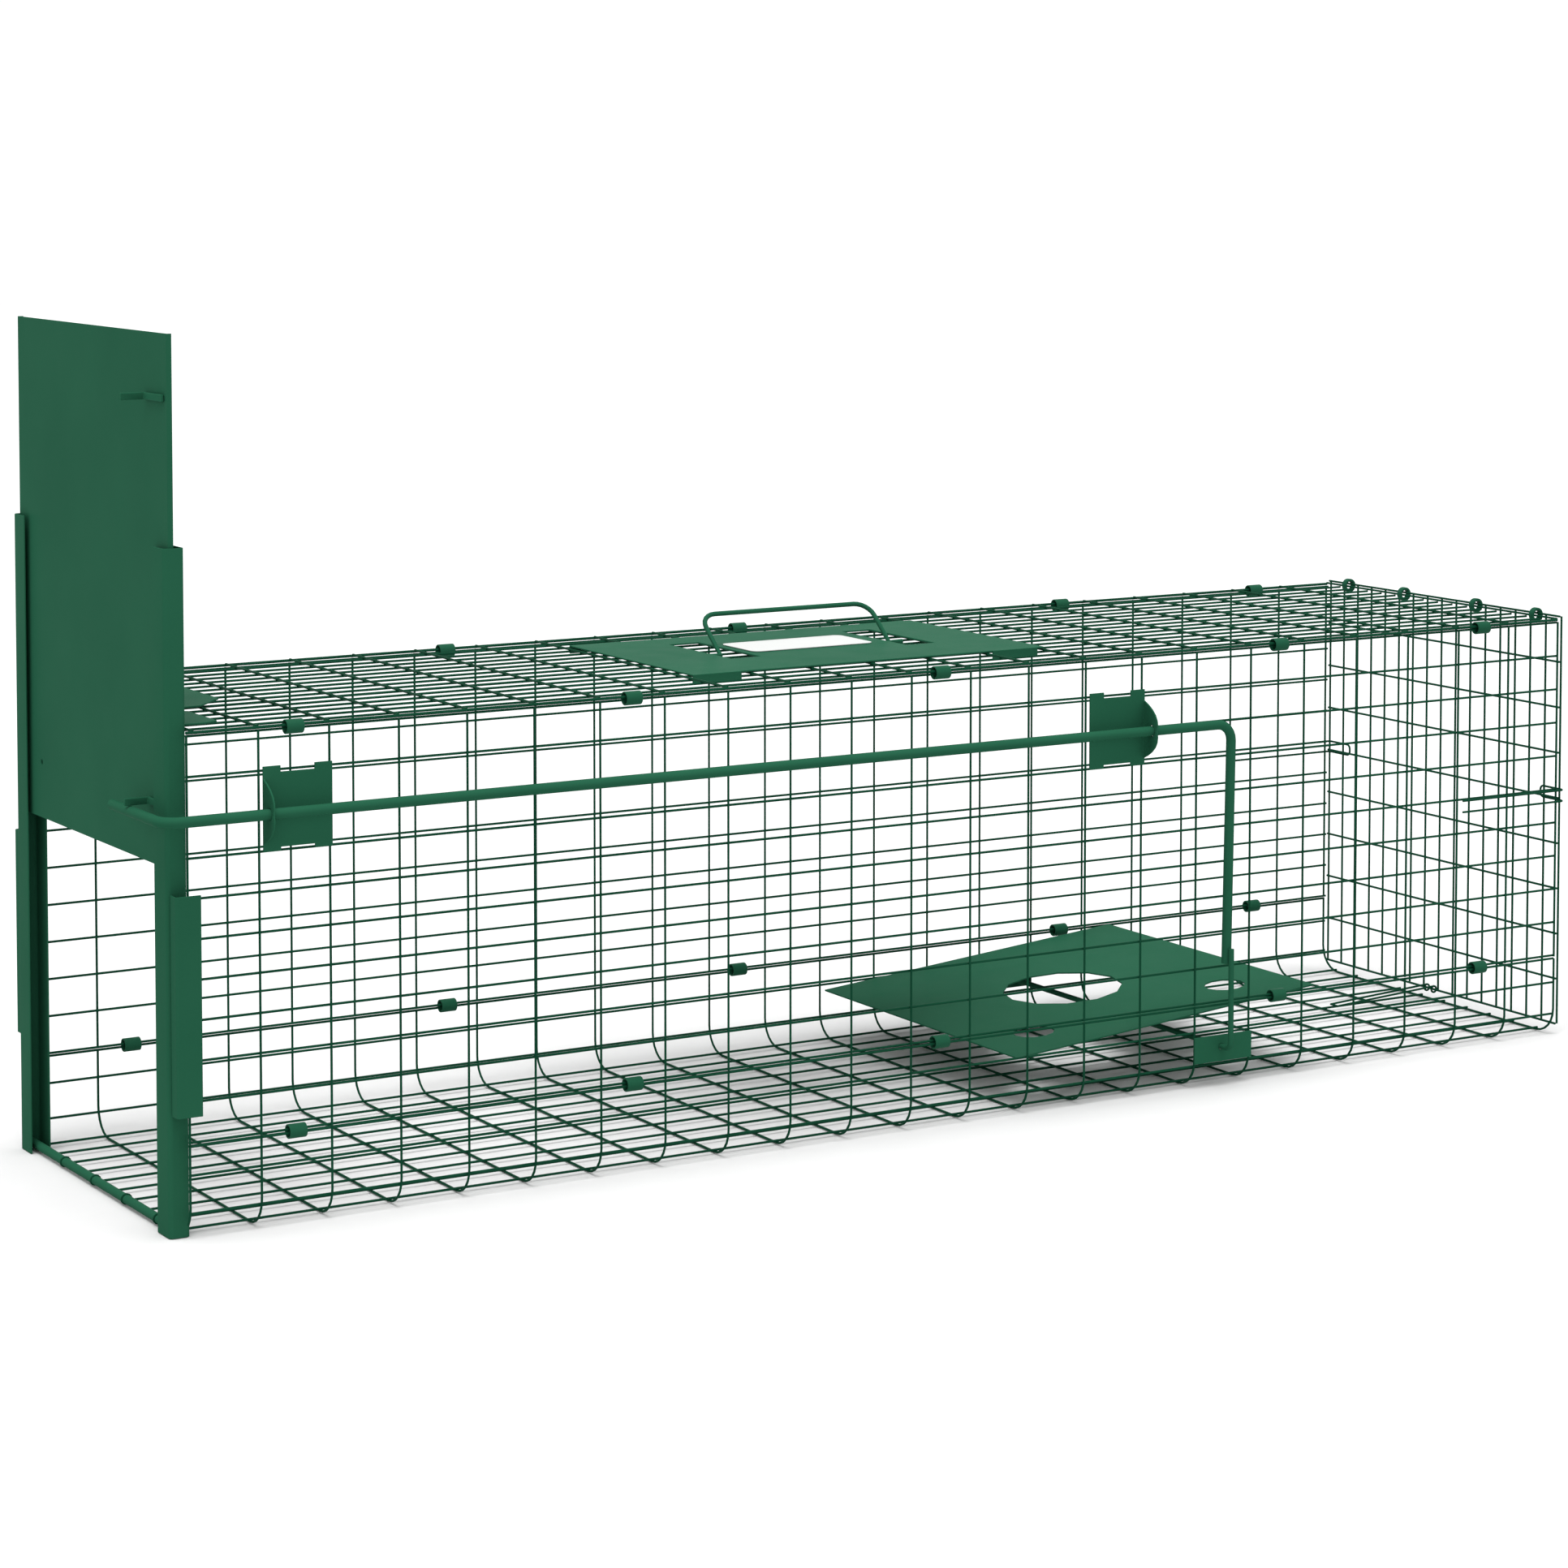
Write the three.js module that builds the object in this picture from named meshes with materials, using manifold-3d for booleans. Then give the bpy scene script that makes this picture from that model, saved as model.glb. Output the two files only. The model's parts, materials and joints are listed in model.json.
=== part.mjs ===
// Live catch trap: a long wire-mesh cage with a sheet-steel drop door, a treadle and a trigger rod.
// Units are millimetres, +Z is up. X runs from the door (front) to the rear door, Y across the cage.
// Inside this file X = 0 is the line of the door guides; the finished group is shifted so that its
// origin is the bottom centre of the whole trap.
import * as THREE from "three";
import { mergeVertices } from "three/addons/utils/BufferGeometryUtils.js";
import Module from "manifold-3d";

// ---------- driving dimensions ----------
const CLEARANCE = 0.3; // smallest gap between two separate pieces
const WIRE = 1.5; // mesh wire, across its flats
const END_WIRE = 1.6; // the panels' end wires, thicker so that no two wires' faces lie in one plane
const CELL_LENGTH = 48; // mesh cell along the cage
const CELLS_LONG = 23; // mesh cells along the cage
const CAGE_WIDTH = 279.7; // over the side panels' upright wires
const SIDE_FRONT = 0.3; // X of the side panels' first upright wire, beside the door guides
const SIDE_ROWS = 10; // mesh rows in a side panel
const SIDE_CELL_HEIGHT = 25.3;
const SEAM_HEIGHT = 60.5; // Z of the side panel's bottom wire
const TOP_CELLS_ACROSS = 16;
const FLOOR_WIRES = 10; // lengthwise wires on the tray's floor
const FLOOR_WIRE_PITCH = 27;
const TRAY_SIDE_WIRES = [15.8, 39.9]; // Z of the lengthwise wires on the tray's sides
const TRAY_WIRE_INSET = 0.4; // the lower of them follows the corner's bend
const TRAY_CORNER = 19; // bend radius of the tray's lower corners
const FRONT_WIRE_BEND = 40; // degrees of that bend kept on the tray's first wire, clear of the guides
const FRONT_WIRE_CORNER = 0.5; // radius that smooths each step of that bend
const BORDER_GAP = 0.6; // between the border wires of two panels
const REAR_DOOR_ROWS = 9;
const REAR_DOOR_BOTTOM = 8;
const HINGE_RING_CELLS = { inner: 2.5, outer: 6.5 }; // rear door's rings, in cells from the middle
const HINGE_RING = { wall: 1.6, length: 5 };

const RAIL_HEIGHT = 429;
const RAIL_DEPTH = 13.9; // along X
const RAIL_FLANGE = 20; // along Y
const RAIL_SHEET = 1;
const RAIL_CORNER = 3;
const RAIL_FRONT = -10.4; // X of the guides' front face
const GUIDE_INSET = 8.45; // from the outside of the cage to the outside of a guide
const DOOR_HEIGHT = 331;
const DOOR_SHEET = 1;
const DOOR_RETURN = 3.7; // depth of the door's folded side edges
const DOOR_SIDE_GAP = 1.3; // between the door's edge and the guide's web
const DOOR_FRONT = -6.5; // X of the door's front face
const CATCH_ON_DOOR = 39.25; // from the door's bottom edge to the lower catch
const DOOR_HOLE = { y: 93.7, up: 37, radius: 2 };
const SILL_RADIUS = 3; // the cross bar under the door
const CATCH = { thick: 2, tall: 4.5, foot: 30, inset: 42.85, tip: -24 };
const UPPER_CATCH_RISE = 252; // from the lower catch to the upper one

const ROD_RADIUS = 3.5;
const ROD_OFFSET = 11.1; // from the outside of the cage to the rod's axis
const ROD_ROW = 8; // the mesh row the rod runs along
const CRANK_X = -19.6;
const CRANK_LENGTH = 85;
const CRANK_BEND = 12;
const LEG_BOTTOM = 90; // Z of the leg's lower end
const LEG_LEAN = 4.1; // how much nearer the cage the leg's lower end stands
const ROD_BRACKET = { width: 47, tab: 12, notch: 4, lowNotch: 2.5, over: 3, ear: 21, lip: 2.5 };
const EAR_PULL = { out: 1.25, up: 0.6 }; // how far the ear's curve is pulled out, in reaches and rises
const ROD_BRACKET_FRONT = [50, 674.2]; // X of each bracket's front edge
const SHEET = 1.2; // brackets, plates

const AXLE_X = 790;
const AXLE_HEIGHT = 28.6;
const AXLE_RADIUS = 2;
const AXLE_BEND = 5;
const ARM_TOP = 101;
const AXLE_OVERHANG = 2; // the axle's far end beyond its plate
const AXLE_PLATE = { length: 50.4, bottom: 18, top: 37, offset: 1.8 };
const TREADLE_LENGTH = 262;
const TREADLE_SIDE_GAP = 10.85; // from the outside of the cage to the treadle
const TREADLE_TILT = 5.1; // degrees, rear edge up
const TREADLE_AHEAD = 35.3; // plate centre ahead of the axle
const TREADLE_RISE = 23.1; // plate underside above the axle
const TREADLE_HOLE = { radius: 44.4, ahead: 3 }; // its centre ahead of the plate's
const TREADLE_SMALL_HOLE = { radius: 15, x: 85, y: -82 };
const LUG = { near: -40, far: 122, width: 14, drop: 5 }; // near and far are each lug's place across

const HANDLE_CELLS = { front: 8, rear: 14 }; // the crosswise wires the handle plate starts and ends by
const HANDLE_PLATE = { behindFront: 1.5, behindRear: -0.5, width: 176, tabGap: 10, tabInset: 6, drop: 5.8 };
const SLOT = { outward: 14, inward: 10, length: 88, y: 13.5 }; // around each of the handle's legs
const HANDLE_RADIUS = 1.75;
const HANDLE_LEGS = { frontCell: 10, ahead: 17, rearCell: 12, behind: 27 }; // from a crosswise wire
const HANDLE_REACH = 38.9; // from the pivot to the grip
const HANDLE_LEAN = 41; // degrees above the plate
const HANDLE_PIVOT_Y = 8.7;
const HANDLE_PIN = 11;
const PIN_BEND = 0.01; // a sharp corner where each pin leaves its leg
const HANDLE_BEND = 12;
const LABEL = { length: 99, width: 49, thick: 0.4, y: 13 };

const CLIP_CELLS = [1.5, 6.5, 11.5, 17.54, 21.46]; // each clip's place, in cells from the front
const CLIP_LENGTH = 12;
const CLIP_OUTER = 4.6;
const LATCH_WIRE = 1.6;
const LATCH = { length: 92, legs: 8.5, height: 182.3, reach: 27, floorReach: 5, floorHeight: 5, bend: 1.8 };
const CONNECTOR = { front: -8.5, rear: 8.4, bottom: 77, top: 215 };
// The bridge's outline: how far its strip and tongue reach back, its ends' inset from the cage's sides,
// and the half-widths of its cut-out and tongue.
const BRIDGE = {
  strip: 30, tongue: 69, inset: 17.85, tongueHalf: 27, notch: 52, gap: 71,
  // Its corners, measured from the strip's rear edge (x) and from those half-widths (y).
  chamfer: { x: 10, y: 5 }, cutBack: { x: 11, y: 7 }, neck: { x: 6, y: 2 }, shoulder: 16,
};

// ---------- sizes that follow ----------
const LAYER = WIRE + CLEARANCE; // from one layer of mesh wires to the next
const HALF = CAGE_WIDTH / 2 - WIRE / 2; // Y of the side panels' upright wires
const CAGE_FACE = CAGE_WIDTH / 2; // outside of the side panels
const MESH_REAR = CELL_LENGTH * CELLS_LONG;
const ROD_HEIGHT = SEAM_HEIGHT + ROD_ROW * SIDE_CELL_HEIGHT;
const TREADLE_WIDTH = CAGE_WIDTH - 2 * TREADLE_SIDE_GAP;
const PLATE_FRONT = HANDLE_CELLS.front * CELL_LENGTH + HANDLE_PLATE.behindFront;
const PLATE_REAR = HANDLE_CELLS.rear * CELL_LENGTH + HANDLE_PLATE.behindRear;
const PLATE_X = (PLATE_FRONT + PLATE_REAR) / 2;
const FRONT_LEG = HANDLE_LEGS.frontCell * CELL_LENGTH - HANDLE_LEGS.ahead;
const REAR_LEG = HANDLE_LEGS.rearCell * CELL_LENGTH + HANDLE_LEGS.behind;
const LATCH_FRONT = MESH_REAR - LATCH.length;
const SIDE_TOP = SEAM_HEIGHT + SIDE_ROWS * SIDE_CELL_HEIGHT;
const EDGE_Y = HALF - LAYER / 2; // Y of the panels' border wires
const BORDER_STEP = WIRE + BORDER_GAP; // from a border wire to the next panel's border wire
const TRAY_EDGE = SEAM_HEIGHT - BORDER_STEP;
const TOP_HEIGHT = SIDE_TOP + BORDER_STEP; // Z of the top panel's border wires
const ON_TOP = TOP_HEIGHT + LAYER / 2 + WIRE / 2 + CLEARANCE; // underside of the sheets on the top
const SHEET_Y = -(CAGE_FACE + CLEARANCE); // inner face of the sheets on the near side
const ROD_Y = -(CAGE_FACE + ROD_OFFSET);
const RAIL_FACE = CAGE_FACE - GUIDE_INSET; // outside of the guide's web
const RAIL_WEB = RAIL_FACE - RAIL_SHEET;
const DOOR_WIDTH = 2 * (RAIL_WEB - DOOR_SIDE_GAP);
const RAIL_BACK = RAIL_FRONT + RAIL_DEPTH;
const SILL_X = DOOR_FRONT + SILL_RADIUS;
const SILL_HEIGHT = SILL_RADIUS + 1;
const LOWER_CATCH = ROD_HEIGHT + ROD_RADIUS + CLEARANCE + CATCH.tall / 2;
const CATCH_Y = CATCH.inset - CAGE_FACE;
const DOOR_SET_HEIGHT = LOWER_CATCH - CATCH_ON_DOOR; // Z of the door's bottom edge when the trap is set
const BEHIND_GUIDES = RAIL_BACK + CLEARANCE + WIRE; // X of the first wire that crosses behind the guides
const ARM_Y = ROD_Y + LEG_LEAN - ROD_RADIUS - CLEARANCE - AXLE_RADIUS;
const REAR_DOOR_X = MESH_REAR + 2 * LAYER;
const REAR_DOOR_TOP = TOP_HEIGHT + BORDER_STEP + CLEARANCE;
const HANDLE_PIVOT_Z = ON_TOP - CLEARANCE - HANDLE_RADIUS;

// ---------- materials ----------
const green = (hex) => new THREE.MeshStandardMaterial({ color: hex, roughness: 0.45, metalness: 0.1 });
const wireGreen = green(0x1e4a35);
const sheetGreen = green(0x2f6b50);
const labelWhite = new THREE.MeshStandardMaterial({ color: 0xf4f4f0, roughness: 0.5, metalness: 0 });

// ---------- joining and cutting ----------
const wasm = await Module();
wasm.setup();

function solid(geometry) {
  const g = geometry.clone();
  g.deleteAttribute("normal");
  g.deleteAttribute("uv");
  const merged = mergeVertices(g, 1e-4);
  return new wasm.Manifold(
    new wasm.Mesh({
      numProp: 3,
      vertProperties: new Float32Array(merged.attributes.position.array),
      triVerts: new Uint32Array(merged.index.array),
    }),
  );
}

function geometryOf(made) {
  const mesh = made.getMesh();
  const g = new THREE.BufferGeometry();
  g.setAttribute("position", new THREE.BufferAttribute(new Float32Array(mesh.vertProperties), 3));
  g.setIndex(new THREE.BufferAttribute(new Uint32Array(mesh.triVerts), 1));
  g.computeVertexNormals();
  return g;
}

const join = (list) => geometryOf(list.map(solid).reduce((all, next) => all.add(next)));
const cut = (from, holes) =>
  geometryOf(holes.map(solid).reduce((rest, hole) => rest.subtract(hole), solid(from)));

// ---------- basic shapes ----------
const vec = (x, y, z) => new THREE.Vector3(x, y, z);

function block(low, high) {
  const g = new THREE.BoxGeometry(high.x - low.x, high.y - low.y, high.z - low.z);
  return g.translate((low.x + high.x) / 2, (low.y + high.y) / 2, (low.z + high.z) / 2);
}

// A straight square wire along one axis, from a to b on that axis, centred on the other two.
function squareWire(axis, a, b, centre, across = WIRE) {
  const low = centre.clone().subScalar(across / 2);
  const high = centre.clone().addScalar(across / 2);
  low[axis] = a;
  high[axis] = b;
  return block(low, high);
}

// A polyline whose corners are rounded to arcs of the given radius.
function roundedPath(points, radius, steps) {
  const path = [points[0]];
  for (let i = 1; i < points.length - 1; i++) {
    const back = points[i - 1].clone().sub(points[i]).normalize();
    const on = points[i + 1].clone().sub(points[i]).normalize();
    const half = back.angleTo(on) / 2;
    const bisector = back.clone().add(on).normalize();
    const centre = points[i].clone().addScaledVector(bisector, radius / Math.sin(half));
    const from = points[i].clone().addScaledVector(back, radius / Math.tan(half)).sub(centre);
    const to = points[i].clone().addScaledVector(on, radius / Math.tan(half)).sub(centre);
    const sweep = from.angleTo(to);
    const axis = from.clone().cross(to).normalize();
    for (let k = 0; k <= steps; k++) {
      path.push(from.clone().applyAxisAngle(axis, (sweep * k) / steps).add(centre));
    }
  }
  return path.concat(points[points.length - 1]);
}

class Polyline extends THREE.Curve {
  constructor(points) {
    super();
    this.points = points;
  }
  getPoint(t) {
    const at = t * (this.points.length - 1);
    const i = Math.min(Math.floor(at), this.points.length - 2);
    return this.points[i].clone().lerp(this.points[i + 1], at - i);
  }
  getPointAt(t) {
    return this.getPoint(t);
  }
  getTangent(t) {
    const at = t * (this.points.length - 1);
    const i = Math.round(at);
    const before = this.points[Math.max(i - 1, 0)];
    const after = this.points[Math.min(i + 1, this.points.length - 1)];
    const here = this.points[i];
    const into = i > 0 ? here.clone().sub(before).normalize() : vec(0, 0, 0);
    const out = i < this.points.length - 1 ? after.clone().sub(here).normalize() : vec(0, 0, 0);
    return into.add(out).normalize();
  }
  getTangentAt(t) {
    return this.getTangent(t);
  }
}

// A bent bar of round section, swept along its rounded path.
function bar(points, radius, bend, sides = 10, steps = 5) {
  const path = points.length > 2 ? roundedPath(points, bend, steps) : points;
  const section = new THREE.Shape();
  for (let k = 0; k < sides; k++) {
    const a = ((k + 0.5) * 2 * Math.PI) / sides;
    section[k ? "lineTo" : "moveTo"](radius * Math.cos(a), radius * Math.sin(a));
  }
  return new THREE.ExtrudeGeometry(section, {
    steps: path.length - 1,
    extrudePath: new Polyline(path),
    bevelEnabled: false,
  });
}

// A sheet of the given outline: drawn in (u, v), as thick as asked, then turned into place.
function sheetOf(shape, thick) {
  return new THREE.ExtrudeGeometry(shape, { depth: thick, bevelEnabled: false, curveSegments: 6 });
}

function outline(points) {
  const shape = new THREE.Shape();
  points.forEach(([x, y], i) => (i ? shape.lineTo(x, y) : shape.moveTo(x, y)));
  return shape;
}

function roundHole(x, y, radius) {
  const hole = new THREE.Path();
  hole.absarc(x, y, radius, 0, 2 * Math.PI, true);
  return hole;
}

// Turns an (u, v, depth) sheet so that u is Y, v is Z and depth is X.
const standAcross = (g) => g.rotateX(Math.PI / 2).rotateZ(Math.PI / 2);
// Turns an (u, v, depth) sheet so that u is X, v is Z and depth is -Y.
const standAlong = (g) => g.rotateX(Math.PI / 2);

// ---------- mesh panels ----------
// Each panel is one welded grid: border wires in the middle plane bite into both layers of wires.
const uprightXs = () => {
  const xs = [];
  for (let i = 1; i < CELLS_LONG; i++) xs.push(i * CELL_LENGTH);
  return xs;
};

function sidePanel(side) {
  const outer = side * HALF;
  const inner = side * (HALF - LAYER);
  const middle = side * EDGE_Y;
  const wires = [
    squareWire("x", SIDE_FRONT, MESH_REAR, vec(0, middle, SEAM_HEIGHT)),
    squareWire("x", SIDE_FRONT, MESH_REAR, vec(0, middle, SIDE_TOP)),
    squareWire("z", SEAM_HEIGHT, SIDE_TOP, vec(SIDE_FRONT, middle, 0), END_WIRE),
    squareWire("z", SEAM_HEIGHT, SIDE_TOP, vec(MESH_REAR, middle, 0), END_WIRE),
  ];
  uprightXs().forEach((x) => wires.push(squareWire("z", SEAM_HEIGHT, SIDE_TOP, vec(x, outer, 0))));
  for (let k = 1; k < SIDE_ROWS; k++) {
    const z = SEAM_HEIGHT + k * SIDE_CELL_HEIGHT;
    wires.push(squareWire("x", SIDE_FRONT, MESH_REAR, vec(0, inner, z)));
  }
  return join(wires);
}

function topPanel() {
  const above = TOP_HEIGHT + LAYER / 2;
  const below = TOP_HEIGHT - LAYER / 2;
  const wires = [];
  [-EDGE_Y, EDGE_Y].forEach((y) => wires.push(squareWire("x", SIDE_FRONT, MESH_REAR, vec(0, y, TOP_HEIGHT))));
  [BEHIND_GUIDES, MESH_REAR].forEach((x) =>
    wires.push(squareWire("y", -EDGE_Y, EDGE_Y, vec(x, 0, TOP_HEIGHT), END_WIRE)));
  uprightXs().forEach((x) => wires.push(squareWire("y", -EDGE_Y, EDGE_Y, vec(x, 0, above))));
  for (let k = 1; k < TOP_CELLS_ACROSS; k++) {
    const y = -EDGE_Y + (k * 2 * EDGE_Y) / TOP_CELLS_ACROSS;
    wires.push(squareWire("x", BEHIND_GUIDES, MESH_REAR, vec(0, y, below)));
  }
  return join(wires);
}

// One U-shaped crosswise wire of the tray, standing inset from the outermost wires.
function trayHoop(x, inset, across) {
  const y = HALF - inset;
  const z = WIRE / 2 + inset;
  const corners = [vec(x, -y, TRAY_EDGE), vec(x, -y, z), vec(x, y, z), vec(x, y, TRAY_EDGE)];
  return bar(corners, across / Math.SQRT2, TRAY_CORNER - inset, 4, 4);
}

// The tray's first wire on one side: it runs down beside the guide and ends where its corner bends in.
function trayFrontWire(side) {
  const bend = TRAY_CORNER - LAYER / 2;
  const corner = WIRE / 2 + TRAY_CORNER;
  const cut = THREE.MathUtils.degToRad(FRONT_WIRE_BEND);
  const points = [vec(SIDE_FRONT, side * EDGE_Y, TRAY_EDGE)];
  for (let k = 0; k <= 3; k++) {
    const a = (k * cut) / 3;
    points.push(vec(SIDE_FRONT, side * (EDGE_Y - bend * (1 - Math.cos(a))), corner - bend * Math.sin(a)));
  }
  return bar(points, END_WIRE / Math.SQRT2, FRONT_WIRE_CORNER, 4, 1);
}

function tray() {
  const wires = [trayFrontWire(-1), trayFrontWire(1), trayHoop(MESH_REAR, LAYER / 2, END_WIRE)];
  uprightXs().forEach((x) => wires.push(trayHoop(x, 0, WIRE)));
  const along = (from, y, z) => wires.push(squareWire("x", from, MESH_REAR, vec(0, y, z)));
  [-1, 1].forEach((side) => {
    along(SIDE_FRONT, side * EDGE_Y, TRAY_EDGE);
    along(SIDE_FRONT, side * (HALF - LAYER), TRAY_SIDE_WIRES[1]);
    along(SIDE_FRONT, side * (HALF - LAYER - TRAY_WIRE_INSET), TRAY_SIDE_WIRES[0]);
  });
  for (let k = 0; k < FLOOR_WIRES; k++) {
    along(BEHIND_GUIDES, (k - (FLOOR_WIRES - 1) / 2) * FLOOR_WIRE_PITCH, WIRE / 2 + LAYER);
  }
  return join(wires);
}

function rearDoor() {
  const half = EDGE_Y;
  const wires = [];
  [REAR_DOOR_BOTTOM, REAR_DOOR_TOP].forEach((z) =>
    wires.push(squareWire("y", -half, half, vec(REAR_DOOR_X, 0, z))));
  [-half, half].forEach((y) =>
    wires.push(squareWire("z", REAR_DOOR_BOTTOM, REAR_DOOR_TOP, vec(REAR_DOOR_X, y, 0), END_WIRE)));
  for (let k = 1; k < TOP_CELLS_ACROSS; k++) {
    const y = -half + (k * 2 * half) / TOP_CELLS_ACROSS;
    wires.push(squareWire("z", REAR_DOOR_BOTTOM, REAR_DOOR_TOP, vec(REAR_DOOR_X + LAYER / 2, y, 0)));
  }
  for (let k = 1; k < REAR_DOOR_ROWS; k++) {
    const z = REAR_DOOR_BOTTOM + (k * (REAR_DOOR_TOP - REAR_DOOR_BOTTOM)) / REAR_DOOR_ROWS;
    wires.push(squareWire("y", -half, half, vec(REAR_DOOR_X - LAYER / 2, 0, z)));
  }
  return join(wires);
}

// ---------- rings that hold the panels together ----------
// A crimped ferrule: a short tube with its axis along X, centred on the origin.
function tube(outer, inner, length, sides) {
  const end = length / 2;
  const profile = [[inner, -end], [outer, -end], [outer, end], [inner, end], [inner, -end]];
  const points = profile.map(([r, h]) => new THREE.Vector2(r, h));
  return new THREE.LatheGeometry(points, sides).rotateZ(Math.PI / 2);
}

function clip() {
  const inner = Math.hypot((BORDER_STEP + WIRE) / 2, WIRE / 2) + 2 * CLEARANCE;
  return tube(CLIP_OUTER, inner, CLIP_LENGTH, 8);
}

function hingeRing() {
  const apart = Math.hypot(REAR_DOOR_X - MESH_REAR, REAR_DOOR_TOP - TOP_HEIGHT);
  const inner = apart / 2 + WIRE / Math.SQRT2 + 2 * CLEARANCE;
  return tube(inner + HINGE_RING.wall, inner, HINGE_RING.length, 12).rotateZ(Math.PI / 2);
}

// ---------- door guides and door ----------
function rail() {
  const r = RAIL_CORNER;
  const s = RAIL_SHEET;
  const lip = RAIL_FACE - RAIL_FLANGE;
  const shape = new THREE.Shape();
  shape.moveTo(RAIL_FRONT, lip);
  shape.lineTo(RAIL_FRONT + s, lip);
  shape.lineTo(RAIL_FRONT + s, RAIL_FACE - r);
  shape.absarc(RAIL_FRONT + r, RAIL_FACE - r, r - s, Math.PI, Math.PI / 2, true);
  shape.lineTo(RAIL_BACK - r, RAIL_WEB);
  shape.absarc(RAIL_BACK - r, RAIL_FACE - r, r - s, Math.PI / 2, 0, true);
  shape.lineTo(RAIL_BACK - s, lip);
  shape.lineTo(RAIL_BACK, lip);
  shape.lineTo(RAIL_BACK, RAIL_FACE - r);
  shape.absarc(RAIL_BACK - r, RAIL_FACE - r, r, 0, Math.PI / 2, false);
  shape.lineTo(RAIL_FRONT + r, RAIL_FACE);
  shape.absarc(RAIL_FRONT + r, RAIL_FACE - r, r, Math.PI / 2, Math.PI, false);
  return new THREE.ExtrudeGeometry(shape, { depth: RAIL_HEIGHT, bevelEnabled: false, curveSegments: 3 });
}

// The mirror image of a solid across the cage's middle plane.
function mirrored(geometry) {
  const g = geometry.index ? geometry.toNonIndexed() : geometry.clone();
  g.deleteAttribute("normal");
  g.deleteAttribute("uv");
  g.scale(1, -1, 1);
  const p = g.attributes.position;
  const a = vec(0, 0, 0);
  const b = vec(0, 0, 0);
  for (let i = 0; i < p.count; i += 3) {
    a.fromBufferAttribute(p, i + 1);
    b.fromBufferAttribute(p, i + 2);
    p.setXYZ(i + 1, b.x, b.y, b.z);
    p.setXYZ(i + 2, a.x, a.y, a.z);
  }
  g.computeVertexNormals();
  return g;
}

// The clamp sheet that ties a guide to the side panel: a face outside both, folded in at its front.
function connector() {
  const face = CAGE_FACE + CLEARANCE;
  const shape = outline([
    [CONNECTOR.front, RAIL_FACE + 2 * CLEARANCE],
    [CONNECTOR.front + SHEET, RAIL_FACE + 2 * CLEARANCE],
    [CONNECTOR.front + SHEET, face],
    [CONNECTOR.rear, face],
    [CONNECTOR.rear, face + SHEET],
    [CONNECTOR.front + SHEET, face + SHEET],
    [CONNECTOR.front, face],
  ]);
  return sheetOf(shape, CONNECTOR.top - CONNECTOR.bottom).translate(0, 0, CONNECTOR.bottom);
}

function sill() {
  const reach = RAIL_WEB - CLEARANCE;
  return bar([vec(SILL_X, -reach, SILL_HEIGHT), vec(SILL_X, reach, SILL_HEIGHT)], SILL_RADIUS, 0, 16);
}

function bridge() {
  const { strip, chamfer, cutBack, neck, shoulder } = BRIDGE;
  const front = RAIL_BACK + CLEARANCE;
  const end = CAGE_FACE - BRIDGE.inset;
  const half = [
    [front, end], [strip - chamfer.x, end], [strip, end - chamfer.y],
    [strip, BRIDGE.gap], [strip - cutBack.x, BRIDGE.gap - cutBack.y], [strip - neck.x, BRIDGE.notch + neck.y],
    [strip + shoulder, BRIDGE.notch], [BRIDGE.tongue, BRIDGE.tongueHalf],
  ];
  const other = half.map(([x, y]) => [x, -y]).reverse();
  return sheetOf(outline([...half, ...other]), SHEET).translate(0, 0, ON_TOP);
}

function door() {
  const half = DOOR_WIDTH / 2;
  const back = DOOR_FRONT + DOOR_RETURN;
  const inside = DOOR_FRONT + DOOR_SHEET;
  const section = outline([
    [DOOR_FRONT, -half], [back, -half], [back, DOOR_SHEET - half], [inside, DOOR_SHEET - half],
    [inside, half - DOOR_SHEET], [back, half - DOOR_SHEET], [back, half], [DOOR_FRONT, half],
  ]);
  const hole = new THREE.CylinderGeometry(DOOR_HOLE.radius, DOOR_HOLE.radius, 4 * DOOR_SHEET, 12);
  hole.rotateZ(Math.PI / 2).translate(DOOR_FRONT + DOOR_SHEET / 2, DOOR_HOLE.y, DOOR_HOLE.up);
  return cut(sheetOf(section, DOOR_HEIGHT), [hole]).translate(0, 0, DOOR_SET_HEIGHT);
}

// A strip bent to an L: its foot lies on the door, its other leg stands out over the crank.
function catchStrip(z) {
  const back = DOOR_FRONT - CLEARANCE;
  const front = back - CATCH.thick;
  const leg = CATCH_Y + CATCH.thick / 2;
  const shape = outline([
    [back, leg], [CATCH.tip, leg], [CATCH.tip, leg - CATCH.thick], [front, leg - CATCH.thick],
    [front, leg - CATCH.foot], [back, leg - CATCH.foot],
  ]);
  return sheetOf(shape, CATCH.tall).translate(0, 0, z - CATCH.tall / 2);
}

// ---------- trigger ----------
function triggerRod() {
  return bar(
    [
      vec(CRANK_X, ROD_Y + CRANK_LENGTH, ROD_HEIGHT),
      vec(CRANK_X, ROD_Y, ROD_HEIGHT),
      vec(AXLE_X, ROD_Y, ROD_HEIGHT),
      vec(AXLE_X, ROD_Y + LEG_LEAN, LEG_BOTTOM),
    ],
    ROD_RADIUS,
    CRANK_BEND,
    12,
  );
}

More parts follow.
